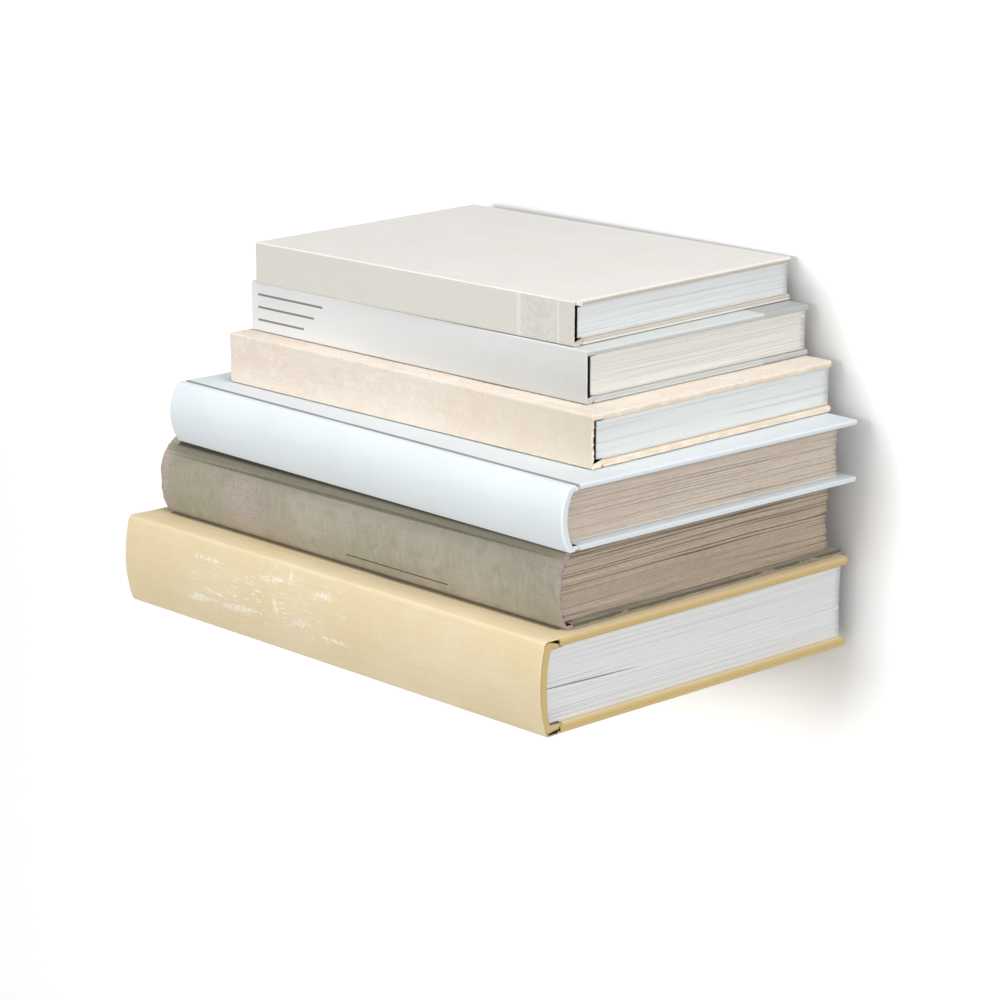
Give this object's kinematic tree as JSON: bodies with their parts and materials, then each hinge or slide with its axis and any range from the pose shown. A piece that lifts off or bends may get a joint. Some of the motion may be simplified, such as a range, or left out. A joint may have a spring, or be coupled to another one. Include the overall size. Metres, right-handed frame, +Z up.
{
  "type": "invisible bookshelf",
  "caption": "Concealed wall bracket whose plate slips inside the bottom hardcover of a flat stack of books, so that the stack seems to float at the wall.",
  "frame": {"origin": "on the wall, at the centre of the bracket's wall leg", "axes": "+Y into the wall, +Z up, +X along the wall to the right as seen from the room"},
  "size_m": [0.3101, 0.2611, 0.1897],
  "materials": {
    "bracket_paint": "white powder coat, satin",
    "screw_zinc": "zinc plated",
    "endpaper": "matte, off-white",
    "gauze": "open weave, glued",
    "book_1_covering": "worn yellow-beige book cloth, matte",
    "book_2_covering": "worn grey-green book cloth, matte",
    "book_3_covering": "smooth pale blue-white paper, soft sheen",
    "book_4_covering": "cream book cloth, frayed at the corners",
    "book_5_covering": "smooth light grey paper, blind stamped",
    "book_6_covering": "off-white linen book cloth, matte",
    "book_1_leaves": "cut edges, cool white",
    "book_2_leaves": "cut edges, browned with age",
    "book_3_leaves": "cut edges, browned with age",
    "book_4_leaves": "cut edges, white",
    "book_5_leaves": "cut edges, warm white",
    "book_6_leaves": "cut edges, white"
  },
  "bodies": {
    "bracket": {"shelf_bracket": "bracket_paint", "lower_left_screw": "screw_zinc", "lower_right_screw": "screw_zinc", "upper_left_screw": "screw_zinc", "upper_right_screw": "screw_zinc"},
    "book_1": {"book_1_front_cover": "book_1_covering", "book_1_back_cover": "book_1_covering", "book_1_spine": "book_1_covering", "book_1_front_joint": "book_1_covering", "book_1_back_joint": "book_1_covering", "book_1_text_block": "book_1_leaves", "book_1_spine_lining": "gauze", "book_1_front_pastedown": "endpaper", "book_1_back_pastedown": "endpaper"},
    "book_2": {"book_2_front_cover": "book_2_covering", "book_2_back_cover": "book_2_covering", "book_2_spine": "book_2_covering", "book_2_front_joint": "book_2_covering", "book_2_back_joint": "book_2_covering", "book_2_text_block": "book_2_leaves", "book_2_spine_lining": "gauze", "book_2_front_pastedown": "endpaper", "book_2_back_pastedown": "endpaper"},
    "book_3": {"book_3_front_cover": "book_3_covering", "book_3_back_cover": "book_3_covering", "book_3_spine": "book_3_covering", "book_3_front_joint": "book_3_covering", "book_3_back_joint": "book_3_covering", "book_3_text_block": "book_3_leaves", "book_3_spine_lining": "gauze", "book_3_front_pastedown": "endpaper", "book_3_back_pastedown": "endpaper"},
    "book_4": {"book_4_front_cover": "book_4_covering", "book_4_back_cover": "book_4_covering", "book_4_spine": "book_4_covering", "book_4_front_joint": "book_4_covering", "book_4_back_joint": "book_4_covering", "book_4_text_block": "book_4_leaves", "book_4_spine_lining": "gauze", "book_4_front_pastedown": "endpaper", "book_4_back_pastedown": "endpaper"},
    "book_5": {"book_5_front_cover": "book_5_covering", "book_5_back_cover": "book_5_covering", "book_5_spine": "book_5_covering", "book_5_front_joint": "book_5_covering", "book_5_back_joint": "book_5_covering", "book_5_text_block": "book_5_leaves", "book_5_spine_lining": "gauze", "book_5_front_pastedown": "endpaper", "book_5_back_pastedown": "endpaper"},
    "book_6": {"book_6_back_cover": "book_6_covering", "book_6_spine": "book_6_covering", "book_6_front_joint": "book_6_covering", "book_6_back_joint": "book_6_covering", "book_6_text_block": "book_6_leaves", "book_6_spine_lining": "gauze", "book_6_back_pastedown": "endpaper"},
    "top_front_cover": {"book_6_front_cover": "book_6_covering", "book_6_front_pastedown": "endpaper"}
  },
  "joints": [
    {"name": "bottom_book_slide", "type": "slide", "parent": "bracket", "child": "book_1", "axis": [0, -1, 0], "range_m": [0, 0.18]},
    {"name": "book_2_lift", "type": "slide", "parent": "book_1", "child": "book_2", "axis": [0, 0, 1], "range_m": [0, 0.1]},
    {"name": "book_3_lift", "type": "slide", "parent": "book_2", "child": "book_3", "axis": [0, 0, 1], "range_m": [0, 0.1]},
    {"name": "book_4_lift", "type": "slide", "parent": "book_3", "child": "book_4", "axis": [0, 0, 1], "range_m": [0, 0.1]},
    {"name": "book_5_lift", "type": "slide", "parent": "book_4", "child": "book_5", "axis": [0, 0, 1], "range_m": [0, 0.1]},
    {"name": "book_6_lift", "type": "slide", "parent": "book_5", "child": "book_6", "axis": [0, 0, 1], "range_m": [0, 0.1]},
    {"name": "top_cover_hinge", "type": "hinge", "parent": "book_6", "child": "top_front_cover", "pos_m": [0.00762, -0.15935, 0.1121], "axis": [0.9992, 0.0405, 0], "range_deg": [0, 180]}
  ]
}
